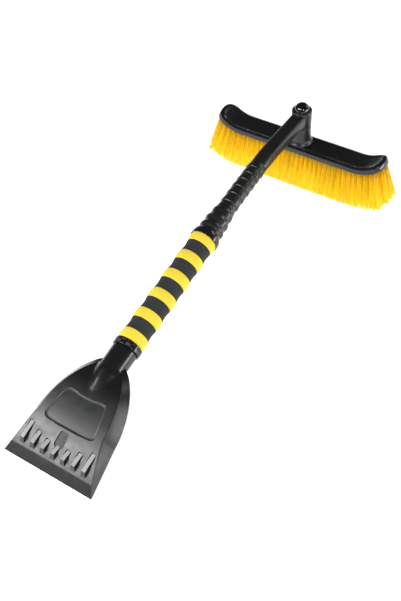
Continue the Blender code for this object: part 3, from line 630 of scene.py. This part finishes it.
# Drawn aluminium is pale and softly bright, zinc plate greyer, and black oxide
# nearly dull; all three carry fine lines from the tool.
refinish(["core_tube"], drawn_metal("drawn_aluminium", "c9ccd0", "dde0e3", 0.32, 1.5 * MM))
zinc = drawn_metal("zinc_plated_steel", "9fa3a6", "c4c6c4", 0.30, 1.2 * MM)
refinish(["neck_screw", "arm_screw", "tower_screw_left", "tower_screw_right", "retaining_ring"],
         zinc)
refinish(["thrust_washer"], drawn_metal("black_oxide_steel", "121214", "1e1e20", 0.45, 1.0 * MM))

# --- Lower collar -------------------------------------------------------------
# Black glossy ABS ring between the neck and the foam, with eight shallow polished
# windows round its lower half and a fine groove over them.


def lower_collar(finish, polished):
    low, high, radius, windows = -9.5, -0.3, 18.9, 8
    corners = [(TUBE_BORE, low, 0), (radius - 0.2, low, 0.7), (radius, low + 5.6, 0.15),
               (radius - 0.6, low + 5.9, 0.15), (radius - 0.6, low + 6.4, 0.15),
               (radius, low + 6.7, 0.2), (radius - 0.1, high, 0.9), (TUBE_BORE, high, 0)]
    steps = 96
    collar = turned("lower_collar_ring", filleted(corners, closed=True), SHAFT, finish, steps)
    collar.data.materials.append(polished)
    into_shaft = SHAFT.inverted()
    bpy.ops.object.mode_set(mode="EDIT")
    bpy.ops.mesh.select_all(action="DESELECT")
    bpy.ops.object.mode_set(mode="OBJECT")
    for flat in collar.data.polygons:
        spot = into_shaft @ flat.center / MM
        outward = math.hypot(spot.x, spot.y) > radius - 0.5
        middle = low + 0.8 < spot.z < low + 5.4
        sector = (math.atan2(spot.y, spot.x) / math.tau * windows) % 1
        flat.select = outward and middle and 0.25 < sector < 0.75
    bpy.ops.object.mode_set(mode="EDIT")
    bpy.ops.mesh.inset(thickness=0.55 * MM, depth=0)
    bpy.ops.mesh.inset(thickness=0.25 * MM, depth=-0.45 * MM)
    # the window faces take the grey painted reflection
    collar.active_material_index = 1
    bpy.ops.object.material_slot_assign()
    bpy.ops.object.mode_set(mode="OBJECT")
    smooth_by_angle(collar, 30)
    return collar


# Polished ABS: black with small clear highlights; the windows are the same
# plastic, smoother, and painted greyer: a painted reflection.
glossy_black = moulded("glossy_black_abs", "101012", "17171a", 0.20, 1.6 * MM, 0.004 * MM, 0.04)
painted_window_reflection = moulded("window_painted_reflection_abs", "3a3c42", "50525a", 0.24, 1.6 * MM, 0.004 * MM, 0.03)
collar = lower_collar(glossy_black, painted_window_reflection)
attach(collar, "tool")
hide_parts("lower_collar")

# --- Foam grip ----------------------------------------------------------------
# Eleven rings of closed-cell EVA foam, yellow and black by turns, glued end to
# end on the tube and ground to a wave: the yellow crests stand proud, the black
# hollows take the fingers.
RING_PITCH = 32.1
YELLOW = YELLOW_LENGTH / MM


def foam_radius(distance):
    """The wavy outside of the grip; the last ring flares towards its collar."""
    mean, swing, opening = 17.3, 0.85, 0.5
    wave = math.cos(math.tau * (distance - YELLOW / 2) / RING_PITCH)
    flare = max((distance - 5 * RING_PITCH) / YELLOW, 0)
    return mean + swing * wave + opening * flare ** 2


def foam(name, low, high, cell, sheen):
    """Ground closed-cell foam: open cell mouths, mottled and quite matt."""
    finish = blank(name)
    place = add_node(finish, "TexCoord").outputs["Object"]
    mottle = add_node(finish, "TexNoise", {}, {
        "Vector": place, "Scale": 1 / (2.2 * MM), "Detail": 6, "Roughness": 0.65})
    colour = add_node(finish, "Mix", {"data_type": "RGBA"},
                      {0: mottle.outputs["Fac"], 6: tone(low), 7: tone(high)})
    cells = add_node(finish, "TexVoronoi", {"feature": "F1"}, {"Vector": place, "Scale": 1 / cell})
    pits = add_node(finish, "MapRange", {}, {
        "Value": cells.outputs["Distance"], "From Min": 0.1, "From Max": 0.6})
    bump = add_node(finish, "Bump", {}, {
        "Strength": 0.8, "Distance": 0.09 * MM, "Height": pits.outputs["Result"]})
    shader = add_node(finish, "BsdfPrincipled", {}, {
        "Base Color": colour.outputs[2], "Roughness": 0.88, "Specular IOR Level": 0.3,
        "Sheen Weight": sheen, "Sheen Roughness": 0.5, "Normal": bump.outputs["Normal"]})
    add_node(finish, "OutputMaterial", {}, {"Surface": shader.outputs[0]})
    return finish


def foam_ring(name, start, length, finish):
    """One ring of foam with softly rubbed edges, on its stretch of the tube."""
    low, high = start + GAP / MM / 2, start + length - GAP / MM / 2
    soft = 0.45
    outside = [(foam_radius(low) - soft, low), (foam_radius(low) - 0.13, low + 0.13)]
    outside += [(foam_radius(low + soft + (high - low - 2 * soft) * step / 12),
                 low + soft + (high - low - 2 * soft) * step / 12) for step in range(13)]
    outside += [(foam_radius(high) - 0.13, high - 0.13), (foam_radius(high) - soft, high)]
    corners = [(TUBE_BORE, low)] + outside + [(TUBE_BORE, high), (TUBE_BORE, low)]
    profile = [(radius * MM, height * MM) for radius, height in corners]
    ring = turned(name, profile, SHAFT, finish)
    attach(ring, "tool")
    return ring


yellow_foam = foam("yellow_eva_foam", "e4c626", "f0d848", 0.8 * MM, 0.15)
black_foam = foam("black_eva_foam", "232425", "353637", 0.8 * MM, 0.05)
for index in range(6):
    ring = foam_ring(f"yellow_foam_{index + 1}", index * RING_PITCH, YELLOW, yellow_foam)
    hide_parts(f"foam_ring_yellow_{index + 1}")
for index in range(5):
    ring = foam_ring(f"black_foam_{index + 1}", index * RING_PITCH + YELLOW,
                     RING_PITCH - YELLOW, black_foam)
    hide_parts(f"foam_ring_black_{index + 1}")

# --- Upper collar -------------------------------------------------------------
# A rounded glossy ring whose lip reaches a little way over the end of the foam.
GRIP_END = 5 * RING_PITCH + YELLOW
COLLAR_LENGTH = 10.2
low = GRIP_END + GAP / MM
corners = [(TUBE_BORE, low, 0), (18.9, low, 0), (18.9, low - 3.2, 0.2), (19.5, low - 3.2, 0.5),
           (19.9, low + 0.6, 1.6), (19.2, low + 5.0, 2.0), (17.6, low + 8.4, 1.2),
           (16.4, low + COLLAR_LENGTH, 0.5), (TUBE_BORE, low + COLLAR_LENGTH, 0)]
ring = turned("upper_collar_ring", filleted(corners, closed=True), SHAFT, glossy_black)
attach(ring, "tool")
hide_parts("upper_collar")

# --- Handle arm ---------------------------------------------------------------
# One black satin moulding: three bulges for the thumb, six stepped grip rings,
# then a squarish arm that bends level and ends in the round eye of the pivot.
HANDLE_START = GRIP_END + 2 * GAP / MM + COLLAR_LENGTH
# Valleys and crests of the bulges: distance up the handle and radius.
BULGES = ((0, 15.8), (6.6, 17.3), (13.1, 15.4), (19.9, 16.6), (26.4, 14.3), (31.6, 14.9),
          (37.1, 13.3), (43.1, 12.2), (44.6, 11.9))
RIB_COUNT, RIB_PITCH, RIB_ROOT, RIB_STEP = 6, 12.2, 11.9, 1.25
FIRST_RIB = HANDLE_START + BULGES[-1][0]
ARM_START = FIRST_RIB + RIB_COUNT * RIB_PITCH
BEND_START = 208
ARM_HEIGHT = 12.5 * MM              # of the arm's axis, below the eye's rim
EYE_DEPTH, EYE_RADIUS = 24.5, 14.4


def handle_radius(distance):
    """Radius of the bulges and of the stepped rings, in mm."""
    if distance < FIRST_RIB:
        place = distance - HANDLE_START
        for (low, radius), (high, next_radius) in zip(BULGES, BULGES[1:]):
            if place <= high:
                share = (place - low) / (high - low)
                return radius + (next_radius - radius) * share * share * (3 - 2 * share)
    share = (distance - FIRST_RIB) / RIB_PITCH % 1
    lip = 0.14
    if share < lip:
        return RIB_ROOT + RIB_STEP * math.sin(math.pi / 2 * share / lip) ** 0.7
    return RIB_ROOT + RIB_STEP * (1 - ((share - lip) / (1 - lip)) ** 1.4)


def arm_path(distance):
    """Centre and direction of the handle: straight, a soft bend, then level."""
    distance *= MM
    bend_start = BEND_START * MM
    if distance <= bend_start:
        return grip_start + SHAFT_UP * distance, SHAFT_UP
    start = grip_start + SHAFT_UP * bend_start
    level = eye_rim.z - ARM_HEIGHT
    corner = start + SHAFT_UP * ((level - start.z) / SHAFT_UP.z)
    end = Vector((0, eye_rim.y - 75 * MM, level))
    length = (corner - start).length + (end - corner).length
    share = (distance - bend_start) / length
    if share >= 1:
        return end + Vector((0, distance - bend_start - length, 0)), Vector((0, 1, 0))
    spot = start * (1 - share) ** 2 + corner * 2 * share * (1 - share) + end * share ** 2
    return spot, ((corner - start) * (1 - share) + (end - corner) * share).normalized()


def arm_section(distance):
    """(half width, half height, squareness) of the handle, in mm."""
    squaring_length = 34
    if distance < ARM_START:
        radius = handle_radius(distance)
        return radius, radius, 2.0
    share = min((distance - ARM_START) / squaring_length, 1)
    ease = share * share * (3 - 2 * share)
    return 12.3 - 1.1 * ease, 11.9 - 2.3 * ease, 2.0 + 1.6 * ease


def handle_arm(finish):
    around = 72
    stations = [HANDLE_START + step * BULGES[-1][0] / 60 for step in range(60)]
    stations += [FIRST_RIB + RIB_PITCH * (index + share) for index in range(RIB_COUNT)
                 for share in (0.0, 0.03, 0.07, 0.11, 0.15, 0.2, 0.3, 0.45, 0.6, 0.75, 0.88, 0.99)]
    stations += [ARM_START + step * 2.5 for step in range(52)]
    tube_end = 220.3
    bore = [(0.0, tube_end), (TUBE_BORE, tube_end), (TUBE_BORE, HANDLE_START)]

    def shape(column, row):
        angle = math.tau * (column % around + 0.5) / around
        if row < len(bore):
            wide, distance = bore[row]
            tall, square = wide, 2.0
        else:
            distance = stations[min(row - len(bore), len(stations) - 1)]
            wide, tall, square = arm_section(distance)
        if row == len(bore) + len(stations):
            wide = tall = 0.0
        centre, direction = arm_path(distance)
        up = Vector((1, 0, 0)).cross(direction)
        across = math.copysign(abs(math.cos(angle)) ** (2 / square), math.cos(angle)) * wide
        rise = math.copysign(abs(math.sin(angle)) ** (2 / square), math.sin(angle)) * tall
        return centre + Vector((across * MM, 0, 0)) + up * rise * MM

    arm = wrapped("handle_moulding", around, len(bore) + len(stations), shape, Matrix(), finish)
    pivot = Matrix.Translation(eye_rim)
    eye = turned("eye_boss", filleted([(0, -EYE_DEPTH, 0), (EYE_RADIUS, -EYE_DEPTH, 1.0),
                                       (EYE_RADIUS, 0, 1.3), (0, 0, 0)]), pivot, finish)
    combine(arm, eye, "UNION")
    bore = turned("eye_bore", filleted([(0, -EYE_DEPTH - 5, 0), (10.2, -EYE_DEPTH - 5, 0),
                                        (10.2, -15, 0), (12.9, -15, 0), (12.9, 5, 0),
                                        (0, 5, 0)]), pivot, finish)
    combine(arm, bore, "DIFFERENCE")
    screw_hole(arm, "arm_screw")
    smooth_by_angle(arm, 34)
    return arm


# Satin ABS: near black, with soft broad highlights along the bulges and the arm.
satin_black = moulded("satin_black_abs", "121212", "191918", 0.34, 0.7 * MM, 0.012 * MM)
arm = handle_arm(satin_black)
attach(arm, "tool")
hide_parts("handle_arm")

# --- Pivot --------------------------------------------------------------------
# A bezel pressed into the eye, a glossy ball-topped button with its friction
# cone, and the column under it, which carries a nylon bush, washer and spring.
PIVOT = Matrix.Translation(eye_rim)
ring = turned("pivot_bezel_ring", filleted([
    (11.3, -1.4, 0.2), (12.0, -5.0, 0), (12.6, -5.0, 0.2), (12.6, 0.1, 0.3), (12.2, 0.5, 0.2),
    (11.5, 0.5, 0.3)], closed=True), PIVOT, satin_black)
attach(ring, "tool")
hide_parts("pivot_bezel")

DOME_RADIUS, DOME_TOP = 10.9, 10.5
dome = [(DOME_RADIUS * math.sin(math.pi / 2 * step / 20),
         DOME_TOP - DOME_RADIUS + DOME_RADIUS * math.cos(math.pi / 2 * step / 20))
        for step in range(21)]
skirt = [(10.9, -1.4), (11.65, -5.3), (11.65, -7.5), (9.7, -7.5), (9.0, 0.5), (7.6, 2.5),
         (6.6, 2.5), (6.2, -4.0), (0, -4.0)]
profile = [(radius * MM, height * MM) for radius, height in dome + skirt]
# Polished black ABS: a mirror that shows the lamps as small sharp spots.
polished_black = moulded("polished_black_abs", "08080a", "0d0d10", 0.09, 2.4 * MM, 0.002 * MM, 0.03)
button = turned("ball_button", profile, PIVOT, polished_black)
bpy.ops.object.select_all(action="DESELECT")
bpy.ops.mesh.primitive_cylinder_add(vertices=6, radius=3.4 * MM, depth=31 * MM,
                                    location=eye_rim - Vector((0, 0, 17.5 * MM)))
stem = bpy.context.object
bpy.ops.object.transform_apply(location=True, rotation=True, scale=True)
stem.data.materials.append(polished_black)
button = joined("ball_button", [button, stem])
smooth_by_angle(button, 34)
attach(button, "button")
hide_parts("pivot_button")



def coil_spring(low, high, finish):
    """Round wire wound in a helix; its ends are closed."""
    wire, coil, turns, rows, around = 0.45, 4.75, 5.5, 132, 10

    def shape(column, row):
        share = row / rows
        turn, about = math.tau * turns * share, math.tau * (column % around) / around
        reach = coil + wire * math.cos(about)
        height = low + wire + (high - low - 2 * wire) * share + wire * math.sin(about)
        return reach * math.cos(turn) * MM, reach * math.sin(turn) * MM, height * MM

    spring = wrapped("coil_spring", around, rows, shape, PIVOT, finish)
    close_ends(spring)
    return spring


SPRING_FOOT, SPRING_TOP, BUTTON_TRAVEL = -23.7, -4.3, 4.0
spring = coil_spring(SPRING_FOOT, SPRING_TOP, zinc)
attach(spring, "brush")
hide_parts("button_spring")
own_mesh(spring)

block_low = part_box("brush_block")[0]
BLOCK_HEIGHT = 10 * MM
FOOT = (block_low.z + BLOCK_HEIGHT - eye_rim.z) / MM + 0.3
SHOULDER, POST, GROOVE = -26.5, 8.2, 7.4
corners = [(0, FOOT - 4.7, 0), (12.0, FOOT - 4.7, 0.3), (12.0, FOOT, 0), (18.2, FOOT, 0.2),
           (17.8, FOOT + 1.6, 1.0), (15.4, FOOT + 5.0, 2.5), (14.4, FOOT + 12, 3.0),
           (14.1, SHOULDER, 0.8), (POST, SHOULDER, 0), (POST, -13.6 - 0.3, 0),
           (GROOVE, -13.6 - 0.3, 0), (GROOVE, -12.4, 0), (POST, -12.4, 0), (POST, -11.2, 0.4),
           (5.8, -11.2, 0), (5.8, -24.0, 0), (3.9, -24.0, 0), (3.9, -38.5, 0), (0, -38.5, 0)]
tower = turned("pivot_column", filleted(corners), PIVOT, satin_black)
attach(tower, "brush")
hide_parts("pivot_tower")
# Black nylon is waxy: a dull, even dark grey.
refinish(["pivot_bush"], moulded("black_nylon", "1a1a1b", "222223", 0.45, 1.0 * MM, 0.01 * MM))

# --- Brush block --------------------------------------------------------------
# Black moulding that carries the bristles: a long rounded bar whose two ends
# turn up, with a flat chamfer round its top and a very shallow tray inside it.
BLOCK_TOP = block_low.z + BLOCK_HEIGHT
BLOCK_LENGTH, BLOCK_WIDTH = 135.0, 20.0          # half sizes
STRAIGHT, BEND_RADIUS, BEND = 92.0, 45.0, math.radians(28)


def block_spot(distance, y, height):
    """A point on the block: distance along its top from the middle, y across
    it and height square to its top, all in mm."""
    reach = abs(distance)
    turn = min(max(reach - STRAIGHT, 0) / BEND_RADIUS, BEND)
    beyond = max(reach - STRAIGHT - BEND * BEND_RADIUS, 0)
    x = (min(reach, STRAIGHT) + BEND_RADIUS * math.sin(turn) + beyond * math.cos(turn)
         - height * math.sin(turn))
    z = BEND_RADIUS * (1 - math.cos(turn)) + beyond * math.sin(turn) + height * math.cos(turn)
    return Vector((math.copysign(x, distance) * MM, eye_rim.y + y * MM, BLOCK_TOP + z * MM)), turn


def brush_block(finish):
    straight_steps, arc_steps = 56, 20
    around = 2 * (straight_steps + arc_steps)
    centre = BLOCK_LENGTH - BLOCK_WIDTH
    levels = [(20, -9.7), (14, -9.7), (3.2, -9.7), (2.6, -10), (0.6, -10), (0.15, -9.85), (0, -9.4),
              (0, -3.0), (0.15, -2.5), (0.6, -2.2), (4.2, -0.5), (4.5, 0), (6.4, 0), (6.6, -0.1),
              (6.9, -0.3), (7.3, -0.4), (12, -0.4), (20, -0.4)]

    def shape(column, row):
        inset, height = levels[row]
        width = BLOCK_WIDTH - inset
        column %= around
        side, step = divmod(column, straight_steps + arc_steps)
        sign = 1 if side == 0 else -1
        if step < straight_steps:
            distance, y = centre * (1 - 2 * step / straight_steps), width
        else:
            across, up = soft_box(math.pi * (step - straight_steps) / arc_steps, 0.78)
            distance, y = -centre - width * up, width * across
        return block_spot(sign * distance, sign * y, height)[0]

    block = wrapped("block_moulding", around, len(levels) - 1, shape, Matrix(), finish, sharp=28)
    for word in ("left", "right"):
        low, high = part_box(f"tower_screw_{word}")
        bpy.ops.object.select_all(action="DESELECT")
        bpy.ops.mesh.primitive_cylinder_add(
            vertices=40, radius=3.3 * MM, depth=6 * MM,
            location=((low.x + high.x) / 2, (low.y + high.y) / 2, BLOCK_TOP - 10.6 * MM))
        combine(block, bpy.context.object, "DIFFERENCE")
    smooth_by_angle(block, 28)
    return block


# Semi-gloss ABS: deep black from above, and grey where its sides mirror the floor.
block_black = moulded("semi_gloss_black_abs", "0f0f10", "161617", 0.28, 0.8 * MM, 0.004 * MM)
block = brush_block(block_black)
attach(block, "brush")
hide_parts("brush_block")

# --- Bristles -----------------------------------------------------------------
# Four rows of tufts of yellow PBT filament, stapled into the block and trimmed
# to one plane. The tufts fan out at the turned-up ends, spread as they leave
# their holes, and leave dark gaps between them near the block.
# A real filament is about 0.3 mm thick; these are drawn coarser and fewer.
TUFT_PITCH, TUFT_RADIUS, ROOT_PITCH, TIP_PITCH = 7.4, 2.9, 9.6, 13.4
FAN, FAN_START, FAN_LENGTH = math.radians(16), 50, 84    # the outermost tufts lean out
FILAMENTS, FILAMENT_RADIUS = 120, 0.32
FILAMENT_LENGTH = (BLOCK_TOP - BLOCK_HEIGHT) / MM
HOLE_DEPTH = -9.6                   # where the filaments start, from the block's top
ALONG_SPREAD, ACROSS_SPREAD = 0.62, 0.56        # of a pitch, at the tips


def filament_finish():
    """Extruded PBT filament: clear yellow, each strand a little different, painted
    browner towards the roots as shade between the tufts and paler towards the tips as
    light. Light passes through it, and a painted glow of emission brightens it further."""
    finish = blank("yellow_pbt_filament")
    strand = add_node(finish, "Attribute", {"attribute_name": "strand"})
    parts = add_node(finish, "SeparateColor", {}, {"Color": strand.outputs["Color"]})
    along = add_node(finish, "ValToRGB", {}, {"Fac": parts.outputs["Green"]})
    # painted shade towards the roots and painted light towards the tips
    ramp = along.color_ramp
    ramp.elements[0].position, ramp.elements[0].color = 0.0, tone("cba80c")
    ramp.elements[1].position, ramp.elements[1].color = 1.0, tone("fff03c")
    ramp.elements.new(0.2).color = tone("f2d00e")
    ramp.elements.new(0.5).color = tone("fadf14")
    shade = add_node(finish, "MapRange", {}, {
        "Value": parts.outputs["Red"], "To Min": 0.86, "To Max": 1.1})
    colour = add_node(finish, "Mix", {"data_type": "RGBA", "blend_type": "MULTIPLY"},
                      {0: 1.0, 6: along.outputs["Color"], 7: shade.outputs["Result"]})
    # the emission is a painted glow
    surface = add_node(finish, "BsdfPrincipled", {}, {
        "Base Color": colour.outputs[2], "Roughness": 0.45, "IOR": 1.55,
        "Emission Color": colour.outputs[2], "Emission Strength": 0.3})
    through = add_node(finish, "BsdfTranslucent", {}, {"Color": colour.outputs[2]})
    both = add_node(finish, "MixShader", {}, {0: 0.5, 1: surface.outputs[0], 2: through.outputs[0]})
    add_node(finish, "OutputMaterial", {}, {"Surface": both.outputs[0]})
    return finish


def bristle_row(index, finish):
    """One row of tufts as one mesh, with strand data for its finish."""
    draw = random.Random(40 + index)
    offset, end_round, margin = index - 1.5, 18.0, 2
    reach = (BLOCK_LENGTH - BLOCK_WIDTH - margin
             + math.sqrt(end_round ** 2 - (abs(offset) * ROOT_PITCH) ** 2))
    tufts = int(2 * reach / TUFT_PITCH)
    pitch = 2 * reach / tufts
    points, faces, data = [], [], []
    rings, sides = 5, 3
    for tuft in range(tufts + 1):
        place = -reach + pitch * tuft
        for _ in range(FILAMENTS):
            spread, angle = math.sqrt(draw.random()), draw.uniform(0, math.tau)
            root = block_spot(place + spread * math.cos(angle) * TUFT_RADIUS,
                              offset * ROOT_PITCH + spread * math.sin(angle) * TUFT_RADIUS,
                              HOLE_DEPTH)[0]
            # towards its tip each filament takes its own place in the row
            share = draw.uniform(-ALONG_SPREAD, ALONG_SPREAD)
            aside = draw.uniform(-1, 1)
            own = place + share * pitch
            ease = min(max((abs(own) - FAN_START) / FAN_LENGTH, 0), 1)
            lean = math.copysign(FAN * ease * ease * (3 - 2 * ease), own) + draw.gauss(0, 0.004)
            length = (FILAMENT_LENGTH + draw.uniform(-0.4, 0.2)) * MM
            drop = length * math.cos(lean)
            foot = block_spot(own, 0, HOLE_DEPTH)[0]
            tip = Vector((foot.x + length * math.sin(lean),
                          eye_rim.y + (offset + math.copysign(abs(aside) ** 0.6, aside) * ACROSS_SPREAD)
                          * TIP_PITCH * MM,
                          max(root.z - drop, draw.uniform(0, 0.4) * MM)))
            bow = Vector((draw.gauss(0, 0.25), draw.gauss(0, 0.3), 0)) * MM
            tint = draw.random()
            first = len(points)
            for ring in range(rings):
                step = ring / (rings - 1)
                centre = root.lerp(tip, step) + bow * 4 * step * (1 - step)
                for side in range(sides):
                    about = math.tau * side / sides + angle
                    points.append(centre + Vector((math.cos(about), math.sin(about), 0))
                                  * FILAMENT_RADIUS * MM)
                    data.extend((tint, step, 0, 1))
            for ring in range(rings - 1):
                for side in range(sides):
                    here = first + ring * sides + side
                    there = first + ring * sides + (side + 1) % sides
                    faces.append((here, here + sides, there + sides, there))
            faces.append(tuple(first + side for side in range(sides)))
            faces.append(tuple(first + (rings - 1) * sides + side for side in (2, 1, 0)))
    mesh = bpy.data.meshes.new(f"bristle_tufts_{index + 1}")
    mesh.from_pydata(points, [], faces)
    strand = mesh.color_attributes.new("strand", "FLOAT_COLOR", "POINT")
    strand.data.foreach_set("color", data)
    mesh.shade_smooth()
    mesh.materials.append(finish)
    row = bpy.data.objects.new(mesh.name, mesh)
    bpy.context.collection.objects.link(row)
    return row


filament = filament_finish()
for index in range(4):
    row = bristle_row(index, filament)
    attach(row, "brush")
    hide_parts(f"bristle_row_{index + 1}")
